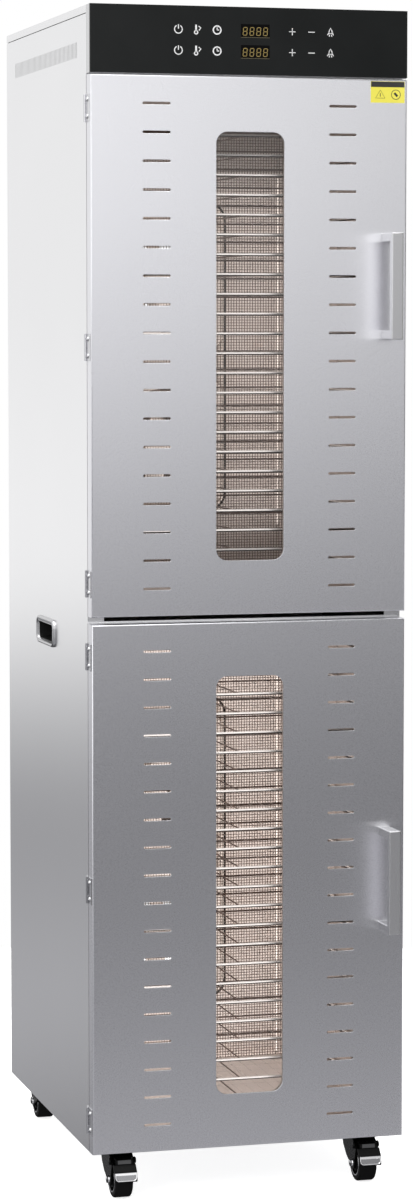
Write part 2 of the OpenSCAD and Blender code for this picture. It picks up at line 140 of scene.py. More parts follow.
def steel(name, tone, rough, grain=(30, 30, 5000), marks=0.012, metallic=1.0, sideways=0.0):
    """Brushed metal: fine grain across the large axis of grain, faint marks from handling.

    Sideways spreads what it mirrors to the left and right, as a grain that runs up and down does.
    """
    mat, nodes, links, shader = new_material(name)
    lines = noise(nodes, links, grain, 4.0)
    clouds = noise(nodes, links, (5, 5, 5), 2.0)
    dark = [c * (1 - marks) for c in tone]
    links.new(ramp(nodes, links, clouds, dark, tone), shader.inputs["Base Color"])
    links.new(spread(nodes, links, lines, rough * 0.92, rough * 1.08), shader.inputs["Roughness"])
    shader.inputs["Metallic"].default_value = metallic
    if sideways:
        level = nodes.new("ShaderNodeTangent")
        level.direction_type, level.axis = "RADIAL", "Z"
        links.new(level.outputs["Tangent"], shader.inputs["Tangent"])
        shader.inputs["Anisotropic"].default_value = sideways
    bump(nodes, links, shader, lines, 0.05, 0.000004)
    return mat


def painted_highlight_wire(name, under, over, rough):
    """Wire with a painted highlight and painted shade: coloured bright on top and dark underneath, whatever
    the light.
    """
    mat, nodes, links, shader = new_material(name)
    dark_below, bright_above = -0.25, 0.05
    facing = nodes.new("ShaderNodeSeparateXYZ")
    links.new(nodes.new("ShaderNodeTexCoord").outputs["Normal"], facing.inputs["Vector"])
    rise = nodes.new("ShaderNodeMapRange")
    rise.inputs["From Min"].default_value = dark_below
    rise.inputs["From Max"].default_value = bright_above
    links.new(facing.outputs["Z"], rise.inputs["Value"])
    links.new(ramp(nodes, links, rise.outputs["Result"], under, over, 0.0, 1.0), shader.inputs["Base Color"])
    fine = noise(nodes, links, (900, 900, 900))
    links.new(spread(nodes, links, fine, rough * 0.9, rough * 1.1), shader.inputs["Roughness"])
    shader.inputs["Metallic"].default_value = 0.3
    return mat


def plain(name, low, high, rough, metallic=0.0, grain=900, depth=0.00002, strength=0.2, coat=0.0, shine=0.5):
    """Moulded or painted surface: slight colour variation and a fine texture."""
    mat, nodes, links, shader = new_material(name)
    fine = noise(nodes, links, (grain,) * 3, 2.0)
    clouds = noise(nodes, links, (14, 14, 14), 3.0)
    links.new(ramp(nodes, links, clouds, low, high), shader.inputs["Base Color"])
    links.new(spread(nodes, links, fine, rough * 0.85, min(1.0, rough * 1.15)), shader.inputs["Roughness"])
    shader.inputs["Metallic"].default_value = metallic
    shader.inputs["Coat Weight"].default_value = coat
    shader.inputs["Specular IOR Level"].default_value = shine
    bump(nodes, links, shader, fine, strength, depth)
    return mat


def pane(name, tint, gloss_rough):
    """Thin clear glass: what is behind shows through, with a fresnel reflection over it."""
    mat, nodes, links, shader = new_material(name)
    nodes.remove(shader)
    clear = nodes.new("ShaderNodeBsdfTransparent")
    smear = noise(nodes, links, (9, 9, 9), 3.0)
    links.new(ramp(nodes, links, smear, [c * 0.97 for c in tint], tint), clear.inputs["Color"])
    gloss = nodes.new("ShaderNodeBsdfGlossy")
    gloss.inputs["Roughness"].default_value = gloss_rough
    fresnel = nodes.new("ShaderNodeFresnel")
    fresnel.inputs["IOR"].default_value = 1.45
    mix = nodes.new("ShaderNodeMixShader")
    links.new(fresnel.outputs["Fac"], mix.inputs["Fac"])
    links.new(clear.outputs["BSDF"], mix.inputs[1])
    links.new(gloss.outputs["BSDF"], mix.inputs[2])
    links.new(mix.outputs["Shader"], nodes["Material Output"].inputs["Surface"])
    return mat


def glow(name, colour, strength):
    """Surface that gives off light of its own, slightly uneven."""
    mat, nodes, links, shader = new_material(name)
    uneven = noise(nodes, links, (300, 300, 300), 1.0)
    shade = ramp(nodes, links, uneven, [c * 0.8 for c in colour], colour)
    links.new(shade, shader.inputs["Base Color"])
    links.new(shade, shader.inputs["Emission Color"])
    shader.inputs["Emission Strength"].default_value = strength
    shader.inputs["Roughness"].default_value = 0.4
    return mat


MAT = {
    "case": steel("case_steel", (0.757, 0.757, 0.768), 0.20),
    "door": steel("door_steel", (0.80, 0.80, 0.83), 0.28, (2500, 2500, 2500), sideways=0.82),
    "head": steel("head_steel", (0.56, 0.56, 0.57), 0.22),
    "chamber": steel("chamber_steel", (0.78, 0.715, 0.68), 0.45, (20, 20, 3000), 0.05, 0.4),
    "handle": steel("handle_steel", (0.71, 0.71, 0.72), 0.25, (4000, 4000, 30)),
    # painted light: the handle bar's back glows by itself, so the door mirrors a soft bright patch beside
    # each handle
    "satin": glow("handle_back_painted_glow", (0.70, 0.69, 0.73), 0.4),
    "liner": plain("door_inner_plate", (0.66, 0.63, 0.61), (0.74, 0.71, 0.69), 0.35, 0.3),
    "bezel": steel("grip_bezel", (0.50, 0.50, 0.51), 0.26, (2000, 2000, 2000)),
    "bolt": plain("black_oxide", (0.008, 0.008, 0.008), (0.014, 0.014, 0.014), 0.45, 0.5),
    "hinge": steel("hinge_steel", (0.60, 0.60, 0.62), 0.18, (3000, 3000, 60)),
    "bright": steel("bright_steel", (0.86, 0.86, 0.87), 0.14, (2000, 2000, 2000)),
    # painted highlight and painted shade: the rim wire is coloured bright on top and dark underneath
    "tray_rim": painted_highlight_wire("tray_rim_painted_highlight", (0.05, 0.042, 0.040), (0.96, 0.95, 0.94), 0.25),
    "tray_mesh": steel("tray_mesh_wire", (0.84, 0.82, 0.80), 0.22, (2500, 2500, 2500), 0.03, 0.9),
    "screen": plain("screen_wire", (0.12, 0.078, 0.060), (0.17, 0.115, 0.090), 0.55, 0.3),
    "screen_edge": plain("screen_edge_strip", (0.80, 0.74, 0.69), (0.86, 0.80, 0.75), 0.4),
    # painted shade: a dark brown copy of the tray wire, for the back rods and the braces
    "tray_back": steel("tray_back_rod_painted_shade", (0.17, 0.115, 0.095), 0.35, (2500, 2500, 2500), 0.03, 0.5),
    "heater": plain("heater_tube", (0.16, 0.09, 0.06), (0.24, 0.15, 0.11), 0.5, 0.8),
    "fan_metal": plain("fan_metal", (0.64, 0.58, 0.54), (0.74, 0.68, 0.64), 0.45, 0.3, 500),
    "black": plain("black_plastic", (0.006, 0.006, 0.006), (0.012, 0.012, 0.012), 0.42, shine=0.3),
    "glass_black": plain("control_black", (0.005, 0.006, 0.006), (0.008, 0.009, 0.009), 0.20, strength=0.03,
                         shine=0.16),
    "film": plain("display_film", (0.001, 0.001, 0.001), (0.002, 0.002, 0.002), 0.25, shine=0.06),
    # painted highlight: a thin line that stands for the lit lower ledge of each display's recess
    "film_edge": plain("display_painted_ledge_highlight", (0.085, 0.070, 0.035), (0.115, 0.095, 0.050), 0.4),
    "ink": plain("key_ink", (0.74, 0.74, 0.74), (0.84, 0.84, 0.84), 0.5),
    "digit": glow("digit_amber", (0.22, 0.16, 0.045), 0.45),
    "board": plain("circuit_board", (0.02, 0.12, 0.06), (0.04, 0.20, 0.10), 0.4),
    "caster": plain("caster_black", (0.002, 0.002, 0.002), (0.004, 0.004, 0.004), 0.26, shine=0.07),
    "band": plain("pedal_grey", (0.045, 0.045, 0.047), (0.060, 0.060, 0.062), 0.35),
    "rubber": plain("wheel_rubber", (0.002, 0.002, 0.002), (0.005, 0.005, 0.005), 0.60, strength=0.5,
                    shine=0.10),
    "chrome": steel("chrome_trim", (0.78, 0.78, 0.79), 0.10, (2000, 2000, 2000)),
    "lip_face": steel("pedal_lip_face", (0.28, 0.28, 0.29), 0.16, (2000, 2000, 2000)),
    "window": pane("window_pane", (0.96, 0.955, 0.95), 0.03),
    "seal": plain("door_seal", (0.55, 0.55, 0.53), (0.66, 0.66, 0.64), 0.7),
    "yellow": plain("label_yellow", (0.80, 0.72, 0.07), (0.90, 0.82, 0.12), 0.35, coat=0.3),
    "label_ink": plain("label_ink", (0.02, 0.02, 0.02), (0.04, 0.04, 0.03), 0.4),
}


# ---------- mesh building ----------

class Shape:
    """Closed shapes gathered into one mesh."""

    def __init__(self):
        self.verts, self.faces, self.slots = [], [], []

    def add(self, verts, faces, slot=0):
        """Takes in faces, whose numbers count the given points; slot chooses their material."""
        start = len(self.verts)
        self.verts.extend(tuple(v) for v in verts)
        self.faces.extend(tuple(start + i for i in face) for face in faces)
        self.slots.extend([slot] * len(faces))

    def loft(self, rings, slot=0, caps=True, loop=False):
        """Skin from ring to ring; every ring has the same number of points."""
        n, m = len(rings[0]), len(rings)
        faces = []
        for k in range(m if loop else m - 1):
            a, b = k * n, (k + 1) % m * n
            faces += [(a + i, a + (i + 1) % n, b + (i + 1) % n, b + i) for i in range(n)]
        if caps and not loop:
            faces += [tuple(reversed(range(n))), tuple(range((m - 1) * n, m * n))]
        self.add([v for ring in rings for v in ring], faces, slot)

    def box(self, lo, hi, slot=0):
        """Straight block between two opposite corners."""
        ring = [(lo[0], lo[1]), (hi[0], lo[1]), (hi[0], hi[1]), (lo[0], hi[1])]
        self.loft([[(x, y, z) for x, y in ring] for z in (lo[2], hi[2])], slot)

    def lathe(self, profile, centre, axis, slot=0, sides=32):
        """Turns a closed profile of (radius, distance along axis) round a line through centre."""
        a, u, v = axes_of(axis)
        rings = []
        for k in range(sides):
            t = 2 * math.pi * k / sides
            out = u * math.cos(t) + v * math.sin(t)
            rings.append([Vector(centre) + out * r + a * d for r, d in profile])
        self.loft(rings, slot, loop=True)

    def rod(self, start, end, radius, slot=0, sides=12):
        """Straight round bar; with four sides it is square."""
        u, v = axes_of(Vector(end) - Vector(start))[1:]
        turns = [2 * math.pi * k / sides for k in range(sides)]
        ring = [u * radius * math.cos(t) + v * radius * math.sin(t) for t in turns]
        self.loft([[Vector(p) + o for o in ring] for p in (start, end)], slot)

    def tube(self, path, radius, slot=0, sides=10):
        """Round bar along a path that stays in one horizontal plane."""
        up = Vector((0, 0, 1))
        turns = [2 * math.pi * k / sides for k in range(sides)]
        rings = []
        for i, p in enumerate(path):
            before, after = path[max(i - 1, 0)], path[min(i + 1, len(path) - 1)]
            side = (Vector(after) - Vector(before)).normalized().cross(up)
            rings.append([Vector(p) + side * radius * math.cos(t) + up * radius * math.sin(t) for t in turns])
        self.loft(rings, slot)

    def finish(self, name, materials, body, bevel=0.0, segments=2, replaces=(), slot=None, weld=False):
        """Makes the object; welded sheet metal keeps its large flat faces flat."""
        mesh = bpy.data.meshes.new(name)
        mesh.from_pydata(self.verts, [], self.faces)
        mesh.polygons.foreach_set("material_index", self.slots)
        bm = bmesh.new()
        bm.from_mesh(mesh)
        if weld:
            bmesh.ops.remove_doubles(bm, verts=bm.verts, dist=1e-6)
        bmesh.ops.recalc_face_normals(bm, faces=bm.faces)
        bm.to_mesh(mesh)
        bm.free()
        for m in materials if isinstance(materials, (list, tuple)) else [materials]:
            mesh.materials.append(MAT[m])
        piece = bpy.data.objects.new(name, mesh)
        bpy.context.scene.collection.objects.link(piece)
        if bevel:
            edge = piece.modifiers.new("edge", "BEVEL")
            edge.width, edge.segments, edge.limit_method = bevel, segments, "ANGLE"
            edge.angle_limit = math.radians(40)
        mesh.shade_smooth()
        mesh.set_sharp_from_angle(angle=math.radians(42))
        if weld:
            for face in mesh.polygons:
                face.use_smooth = abs(face.normal.y) < 0.999
        else:
            even = piece.modifiers.new("even", "WEIGHTED_NORMAL")
            even.keep_sharp = True
        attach(piece, body)
        if replaces:
            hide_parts(*replaces)
        return piece


def axes_of(direction):
    """Unit vector along direction and two across it."""
    a = Vector(direction).normalized()
    u = a.orthogonal().normalized()
    return a, u, a.cross(u)


def arc(cx, cz, r, start, end, steps):
    """Points on an arc in degrees, ends included."""
    return [(cx + r * math.cos(math.radians(start + (end - start) * k / steps)),
             cz + r * math.sin(math.radians(start + (end - start) * k / steps))) for k in range(steps + 1)]


def rounded_rect(w, h, r, grow=0.0, steps=6):
    """Outline of a rounded rectangle round the origin, offset outwards by grow."""
    w, h, r = w / 2 + grow, h / 2 + grow, r + grow
    return [p for sx, sz, a in ((1, 1, 0), (-1, 1, 90), (-1, -1, 180), (1, -1, 270))
            for p in arc(sx * (w - r), sz * (h - r), r, a, a + 90, steps)]


def slot_loop(length, thick, grow=0.0, steps=6):
    """Outline of a slot with round ends, offset outwards by grow."""
    r = thick / 2 + grow
    x = length / 2 - thick / 2
    return arc(x, 0, r, -90, 90, steps) + arc(-x, 0, r, 90, 270, steps)


def moved(loop, dx, dz):
    return [(x + dx, z + dz) for x, z in loop]


def fill(shape, y, loops, slot=0):
    """Flat face at y inside the first loop and outside the others."""
    flat = [[Vector((x, z, 0)) for x, z in loop] for loop in loops]
    points = [(x, y, z) for loop in loops for x, z in loop]
    shape.add(points, tessellate_polygon(flat), slot)


def rings_at(shape, rows, slot=0):
    """Open skin through loops, each at its own y."""
    shape.loft([[(x, y, z) for x, z in loop] for loop, y in rows], slot, caps=False)


# ---------- doors ----------

def door_holes(lo, hi):
    """Each hole of a door's skin as a function of how far it is grown."""
    cx, cz = (lo.x + hi.x) / 2, (lo.z + hi.z) / 2
    holes = [lambda g: moved(rounded_rect(*WINDOW, g, 8), cx, cz)]
    first = cz - (SLOT_COUNT - 1) * SLOT_PITCH / 2
    for side in (-1, 1):
        for k in range(SLOT_COUNT):
            x, z = cx + side * SLOT_X, first + k * SLOT_PITCH
            holes.append(lambda g, x=x, z=z: moved(slot_loop(*SLOT, g), x, z))
    return holes


def door_shell(zone):
    """Skin folded back at all four edges, with rounded bends and eased edges on every hole."""
    lo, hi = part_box(f"{zone}_door_shell")
    y0, y1 = lo.y, hi.y
    ease = 0.0005

    def edge(inset):
        return [(lo.x + inset, lo.z + inset), (hi.x - inset, lo.z + inset),
                (hi.x - inset, hi.z - inset), (lo.x + inset, hi.z - inset)]

    shape = Shape()
    holes = door_holes(lo, hi)
    inner = DOOR_BEND - SHEET
    fill(shape, y0, [edge(DOOR_BEND)] + [hole(ease) for hole in holes])
    fill(shape, y0 + SHEET, [edge(DOOR_BEND)] + [hole(0) for hole in holes])
    for hole in holes:
        eased = [(hole(ease * (1 - math.sin(a))), y0 + ease * (1 - math.cos(a)))
                 for a in (0, math.pi / 4, math.pi / 2)]
        rings_at(shape, eased + [(hole(0), y0 + SHEET)])
    bend = [k * math.pi / 8 for k in range(5)]
    outside = [(edge(DOOR_BEND * (1 - math.sin(a))), y0 + DOOR_BEND * (1 - math.cos(a))) for a in bend]
    inside = [(edge(SHEET + inner * (1 - math.sin(a))), y0 + SHEET + inner * (1 - math.cos(a))) for a in bend]
    rings_at(shape, outside + [(edge(0), y1), (edge(SHEET), y1)] + inside[::-1])
    shape.finish(f"{zone}_door_skin", "door", f"{zone}_door", replaces=[f"{zone}_door_shell"],
                 slot="door_steel", weld=True)


def door_inner(zone):
    """Inner plate with wide openings behind the slots and a collar round the window."""
    lo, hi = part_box(f"{zone}_door_liner")
    shell_lo, shell_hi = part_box(f"{zone}_door_shell")
    front, back = hi.y - SHEET, hi.y
    edge = [(lo.x, lo.z), (hi.x, lo.z), (hi.x, hi.z), (lo.x, hi.z)]
    holes = door_holes(shell_lo, shell_hi)
    window, slots = holes[0], holes[1:]
    collar, clear = 0.004, 0.0055
    outside = collar + 0.001
    shape = Shape()
    fill(shape, back, [edge, window(collar)] + [hole(clear) for hole in slots])
    fill(shape, front, [edge, window(outside)] + [hole(clear) for hole in slots])
    for hole in slots:
        rings_at(shape, [(hole(clear), front), (hole(clear), back)])
    rings_at(shape, [(edge, front), (edge, back)])
    rings_at(shape, [(window(outside), front), (window(outside), lo.y), (window(collar), lo.y),
                     (window(collar), back)])
    shape.finish(f"{zone}_door_inner_plate", "liner", f"{zone}_door", replaces=[f"{zone}_door_liner"],
                 slot="door_steel", weld=True)


def door_handle(zone):
    """Flat bar on two square legs.

    The bar's back isn't shaded as steel: it gives off a little light, which the door mirrors.
    """
    lo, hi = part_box(f"{zone}_door_handle")
    bar, leg = 0.010, 0.012
    bar_back = 4  # that face's place in the loft
    rows = [(lo.y, lo.z), (lo.y, hi.z), (hi.y, hi.z), (hi.y, hi.z - leg), (lo.y + bar, hi.z - leg),
            (lo.y + bar, lo.z + leg), (hi.y, lo.z + leg), (hi.y, lo.z)]
    shape = Shape()
    shape.loft([[(x, y, z) for y, z in rows] for x in (lo.x, hi.x)])
    # the bar's back takes the painted glow
    shape.slots[bar_back] = 1
    shape.finish(f"{zone}_handle_bar", ["handle", "satin"], f"{zone}_door", 0.0012, 3,
                 replaces=[f"{zone}_door_handle"], slot="handle_steel")


# ---------- trays and screens ----------

def tray_set(zone):
    """Trays of wire mesh, each with a rim, a thinner back rod and a brace under its middle."""
    lo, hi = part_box(f"{zone}_trays")
    r, corner = TRAY_ROD, 0.008
    x0, x1, y0, y1 = lo.x + r, hi.x - r, lo.y + r, hi.y - r
    bend_y = y0 + corner
    rim = ([(x0, y1 - corner)] + arc(x0 + corner, bend_y, corner, 180, 270, 4)
           + arc(x1 - corner, bend_y, corner, 270, 360, 4) + [(x1, y1 - corner)])
    back = ([(x0, y1 - corner)] + arc(x0 + corner, y1 - corner, corner, 180, 90, 4)
            + arc(x1 - corner, y1 - corner, corner, 90, 0, 4) + [(x1, y1 - corner)])
    across = int((x1 - x0) / TRAY_WIRE_PITCH)
    deep = int((y1 - y0) / TRAY_CROSS_PITCH)
    shape = Shape()
    for k in range(TRAY_COUNT):
        z = lo.z + r + k * TRAY_PITCH
        # the rim carries a painted highlight on top and painted shade underneath
        shape.tube([(x, y, z) for x, y in rim], r, 0, 14)
        # The back rod and the brace take the dark copy of the wire: painted shade.
        shape.tube([(x, y, z) for x, y in back], TRAY_BACK_ROD, 1, 10)
        brace_z = z - 2 * TRAY_WIRE - TRAY_BRACE
        shape.rod((0, y0, brace_z), (0, y1, brace_z), TRAY_BRACE, 1, 10)
        for i in range(1, across):
            x = x0 + i * (x1 - x0) / across
            shape.rod((x, y0, z + TRAY_WIRE), (x, y1, z + TRAY_WIRE), TRAY_WIRE, 2, 6)
        for i in range(1, deep):
            y = y0 + i * (y1 - y0) / deep
            shape.rod((x0, y, z - TRAY_WIRE), (x1, y, z - TRAY_WIRE), TRAY_WIRE, 2, 6)
    shape.finish(f"{zone}_wire_trays", ["tray_rim", "tray_back", "tray_mesh"], "cabinet",
                 replaces=[f"{zone}_trays"], slot="tray_wire")


def rear_screen_pair():
    """Square wire grid across the rear of each chamber, with two upright strips behind it."""
    lo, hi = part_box("rear_screens")
    x0, x1 = lo.x, hi.x
    y = (lo.y + hi.y) / 2
    strip_front, strip_back = y + 0.0045, y + 0.0051
    gap = 0.001
    for zone in ZONES:
        liner_lo, liner_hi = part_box(f"{zone}_liner")
        z0, z1 = liner_lo.z + gap, liner_hi.z - gap
        shape = Shape()
        columns = int((x1 - x0) / SCREEN_PITCH)
        rows = int((z1 - z0) / SCREEN_PITCH)
        for i in range(columns + 1):
            x = x0 + i * (x1 - x0) / columns
            shape.rod((x, y - SCREEN_WIRE / 2, z0), (x, y - SCREEN_WIRE / 2, z1), SCREEN_WIRE, 0, 4)
        for i in range(rows + 1):
            z = z0 + i * (z1 - z0) / rows
            shape.rod((x0, y + SCREEN_WIRE / 2, z), (x1, y + SCREEN_WIRE / 2, z), SCREEN_WIRE, 0, 4)
        for x in (-SCREEN_STRIP, SCREEN_STRIP):
            shape.box((x - SCREEN_STRIP_HALF, strip_front, z0), (x + SCREEN_STRIP_HALF, strip_back, z1), 1)
        piece = shape.finish(f"{zone}_rear_screen_wire", ["screen", "screen_edge"], "cabinet",
                             slot="screen_wire")
        if zone == "upper":
            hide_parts("rear_screens")


def fan_ducts():
    """Duct with rounded corners round each chamber's fans: pale walls and a black lip in front."""
    lo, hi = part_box("fan_shrouds")
    wall, lip = 0.003, 0.003
    corner = 0.028
    width = hi.x - lo.x
    cx = (lo.x + hi.x) / 2
    for zone in ZONES:
        fans = [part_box(f"{zone}_fan_{which}") for which in "ab"]
        cz = sum((a.z + b.z) / 4 for a, b in fans) + DUCT_RISE

        def inset(g):
            return moved(rounded_rect(width, DUCT_HEIGHT, corner, -g), cx, cz)

        shape = Shape()
        rings_at(shape, [(inset(0), lo.y), (inset(0), hi.y), (inset(wall), hi.y), (inset(wall), lo.y + lip)])
        rings_at(shape, [(inset(wall), lo.y + lip), (inset(lip), lo.y + lip), (inset(lip), lo.y),
                         (inset(0), lo.y)], 1)
        piece = shape.finish(f"{zone}_fan_duct", ["screen_edge", "black"], "cabinet", 0.0008,
                             slot="fan_black", weld=True)
        if zone == "upper":
            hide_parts("fan_shrouds")


# ---------- control head ----------

def stroke(shape, path, width, y, slot=0, closed=False):
    """Raised line of even width along a path in x and z."""
    n = len(path)
    half = width / 2
    left, right = [], []
    for i, (x, z) in enumerate(path):
        a = path[i - 1] if closed or i else path[0]
        b = path[(i + 1) % n] if closed or i < n - 1 else path[-1]
        d = Vector((b[0] - a[0], b[1] - a[1])).normalized()
        left.append((x - d.y * half, z + d.x * half))
        right.append((x + d.y * half, z - d.x * half))
    deep = 0.0001
    rings = [[(l[0], y, l[1]), (r[0], y, r[1]), (r[0], y - deep, r[1]), (l[0], y - deep, l[1])]
             for l, r in zip(left, right)]
    shape.loft(rings, slot, caps=not closed, loop=closed)


def key_power(shape, x, z, y):
    stroke(shape, arc(x, z, 0.0052, 118, 422, 24), 0.0013, y)
    stroke(shape, [(x, z + 0.0005), (x, z + 0.0062)], 0.0013, y)


def key_heat(shape, x, z, y):
    stroke(shape, arc(x - 0.002, z - 0.0035, 0.0022, 0, 345, 16), 0.0015, y, closed=True)
    stroke(shape, [(x - 0.002, z - 0.0016), (x - 0.002, z + 0.0062)], 0.0024, y)
    stroke(shape, [(x + 0.0014, z + 0.0045), (x + 0.0044, z + 0.0022), (x + 0.0018, z - 0.0012)], 0.0013, y)


def key_clock(shape, x, z, y):
    stroke(shape, arc(x, z, 0.0052, 0, 352, 24), 0.0016, y, closed=True)
    stroke(shape, [(x, z + 0.0032), (x, z - 0.0004)], 0.0014, y)
    stroke(shape, [(x - 0.0006, z), (x + 0.0028, z)], 0.0014, y)


def key_plus(shape, x, z, y):
    stroke(shape, [(x - 0.0044, z), (x + 0.0044, z)], 0.0010, y)
    stroke(shape, [(x, z - 0.0046), (x, z + 0.0046)], 0.0010, y)


def key_minus(shape, x, z, y):
    stroke(shape, [(x - 0.0044, z), (x + 0.0044, z)], 0.0011, y)


def key_boost(shape, x, z, y):
    """Arrow head on a short body with two splayed feet."""
    stroke(shape, [(x, z + 0.0058), (x + 0.0020, z + 0.0020), (x + 0.0020, z - 0.0012),
                   (x - 0.0020, z - 0.0012), (x - 0.0020, z + 0.0020)], 0.0012, y, closed=True)
    for side in (-1, 1):
        stroke(shape, [(x + side * 0.0020, z + 0.0004), (x + side * 0.0042, z - 0.0034)], 0.0012, y)
        stroke(shape, [(x + side * 0.0012, z - 0.0026), (x + side * 0.0018, z - 0.0052)], 0.0011, y)


def digit_eight(shape, x, z, y):
    """Seven bars of one lit digit, leaning slightly."""
    w, h, lean = 0.0050, 0.0100, 0.08
    bar = 0.0009
    gap = 0.0004

    def at(u, v):
        return (x + u * w / 2 + v * h / 2 * lean, z + v * h / 2)

    for v in (-1, 0, 1):
        a, b = at(-1, v), at(1, v)
        stroke(shape, [(a[0] + gap, a[1]), (b[0] - gap, b[1])], bar, y)
    for u in (-1, 1):
        for v in (-1, 0):
            a, b = at(u, v), at(u, v + 1)
            stroke(shape, [(a[0], a[1] + gap), (b[0], b[1] - gap)], bar, y)


def control_head():
    """Two rows of touch keys, each with a display of four digits between them."""
    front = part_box("control_glass")[0].y
    modules_lo, modules_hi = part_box("display_modules")
    cx = (modules_lo.x + modules_hi.x) / 2
    half = 0.008
    rows = (modules_lo.z + half, modules_hi.z - half)
    film, edge = 0.00008, 0.0002
    edge_below, edge_above, digits_down = 0.0004, 0.0002, 0.0008
    w, h = DISPLAY
    draw = {"power": key_power, "heat": key_heat, "clock": key_clock, "plus": key_plus, "minus": key_minus,
            "boost": key_boost}
    keys, films, digits = Shape(), Shape(), Shape()
    for z in rows:
        for key, x in KEY_X.items():
            draw[key](keys, x, z, front)
        left, right, foot = cx - w / 2, cx + w / 2, z - h / 2
        films.box((left, front - film, foot), (right, front, z + h / 2))
        # a thin line at the display's foot: painted highlight of a lit lower ledge
        films.box((left, front - edge, foot - edge_below), (right, front, foot + edge_above), 1)
        for k in range(4):
            digit_eight(digits, cx + (k - 1.5) * DIGIT_PITCH, z - digits_down, front - film)
    keys.finish("key_symbols", "ink", "cabinet", slot="control_glass_black")
    films.finish("display_films", ["film", "film_edge"], "cabinet", slot="display_amber")
    digits.finish("display_digits", "digit", "cabinet", slot="display_amber")


def label():
    """Plain yellow tag: dark band and two plain signs, no lettering."""
    lo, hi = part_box("door_label")
    y = lo.y
    band, border, line, raised = 0.0075, 0.0004, 0.0008, 0.00012
    cx, w = (lo.x + hi.x) / 2, hi.x - lo.x
    triangle, ring = cx - w * 0.22, cx + w * 0.24
    shape = Shape()
    shape.box((lo.x + border, y - raised, hi.z - band), (hi.x - border, y, hi.z - border))
    stroke(shape, [(cx - w * 0.36, lo.z + 0.006), (cx - w * 0.08, lo.z + 0.006), (triangle, lo.z + 0.0165)],
           line, y, closed=True)
    stroke(shape, [(triangle, lo.z + 0.0080), (triangle, lo.z + 0.0125)], 0.0010, y)
    stroke(shape, arc(ring, lo.z + 0.0108, 0.0062, 0, 350, 24), line, y, closed=True)
    stroke(shape, [(ring - 0.0022, lo.z + 0.0130), (ring + 0.0022, lo.z + 0.0086)], 0.0030, y)
    shape.finish("label_signs", "label_ink", "upper_door", slot="label_yellow")


# ---------- screws ----------

def screw_head(shape, centre, axis, r, tall, slot=0):
    """Domed head with a socket, standing on centre and facing along axis."""
    dome = [(0.0, 0.0), (r, 0.0)]
    dome += [(r * math.cos(t), tall * (0.25 + 0.75 * math.sin(t))) for t in (0.0, 0.35, 0.7, 1.05)]
    dome += [(r * 0.40, tall * 0.98), (r * 0.36, tall * 0.45), (0.0, tall * 0.40)]
    shape.lathe(dome, centre, axis, slot, 20)


def screw_heads():
    """Two screws in each hinge leaf, one behind each handle's leg, and the rear cover's.

    A door's own screws ride with the door.
    """
    door_screw, cabinet_screw = (0.0031, 0.0015), (0.0028, 0.0007)
    handle_screw, cover_screw = (0.004, 0.0026), (0.0035, 0.0012)
    pitch, leaf, door_row, cabinet_row = 0.022, 0.0028, 0.0105, 0.0276
    leg, cover_edge, cover_foot, cover_pitch = 0.012, 0.009, 0.030, 0.350
    cabinet = Shape()
    for zone in ZONES:
        door = Shape()
        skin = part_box(f"{zone}_door_shell")[0].y
        leaf_lo, leaf_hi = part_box(f"{zone}_door_hinge_leaves")
        face = leaf_lo.x + leaf
        for z in (leaf_lo.z + HINGE_LEAF / 2, (leaf_lo.z + leaf_hi.z) / 2, leaf_hi.z - HINGE_LEAF / 2):
            for rise in (-pitch / 2, pitch / 2):
                screw_head(door, (face, skin + door_row, z + rise), (-1, 0, 0), *door_screw)
                screw_head(cabinet, (face, skin + cabinet_row, z + rise), (-1, 0, 0), *cabinet_screw)
        grip_lo, grip_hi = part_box(f"{zone}_door_handle")
        for z in (grip_lo.z + leg / 2, grip_hi.z - leg / 2):
            screw_head(door, ((grip_lo.x + grip_hi.x) / 2, skin + SHEET, z), (0, 1, 0), *handle_screw)
        door.finish(f"{zone}_door_screw_heads", "chrome", f"{zone}_door", replaces=[f"{zone}_door_screws"],
                    slot="bright_steel")
    cover_lo, cover_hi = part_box("rear_cover")
    for x in (cover_lo.x + cover_edge, cover_hi.x - cover_edge):
        for k in range(5):
            z = cover_lo.z + cover_foot + k * cover_pitch
            screw_head(cabinet, (x, cover_hi.y, z), (0, 1, 0), *cover_screw)
    cabinet.finish("cabinet_screw_heads", "chrome", "cabinet", replaces=["cabinet_screws"],
                   slot="bright_steel")


# ---------- hand grips ----------

def side_grips():
    """Raised frame round each grip's pocket, wider above the opening than below it."""
    lo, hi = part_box("side_grip_bezels")
    y, z = (lo.y + hi.y) / 2, (lo.z + hi.z) / 2
    w, h = hi.y - lo.y, hi.z - lo.z
    thick, corner = 0.004, 0.012
    # how far each row of the section stands out, how far it is grown, and how far it is lowered
    section = [(0.0, 0.0, 0.0), (0.0022, -0.0002, 0.0), (0.0034, -0.0010, 0.0), (0.0040, -0.0024, 0.0),
               (0.0036, -0.0040, 0.0004), (0.0026, -0.0052, 0.0010), (0.0028, -0.0060, 0.0012),
               (0.0016, -0.0066, 0.0012), (0.0, -0.0068, 0.0008)]
    shape = Shape()
    for side, x in ((-1, lo.x), (1, hi.x)):
        wall = x - side * thick
        shape.loft([[(wall + side * out, y + u, z - drop + v) for u, v in rounded_rect(w, h, corner, grow)]
                    for out, grow, drop in section], caps=False, loop=True)
    shape.finish("side_grip_frames", "bezel", "cabinet", replaces=["side_grip_bezels"], slot="grip_trim")


# ---------- casters ----------

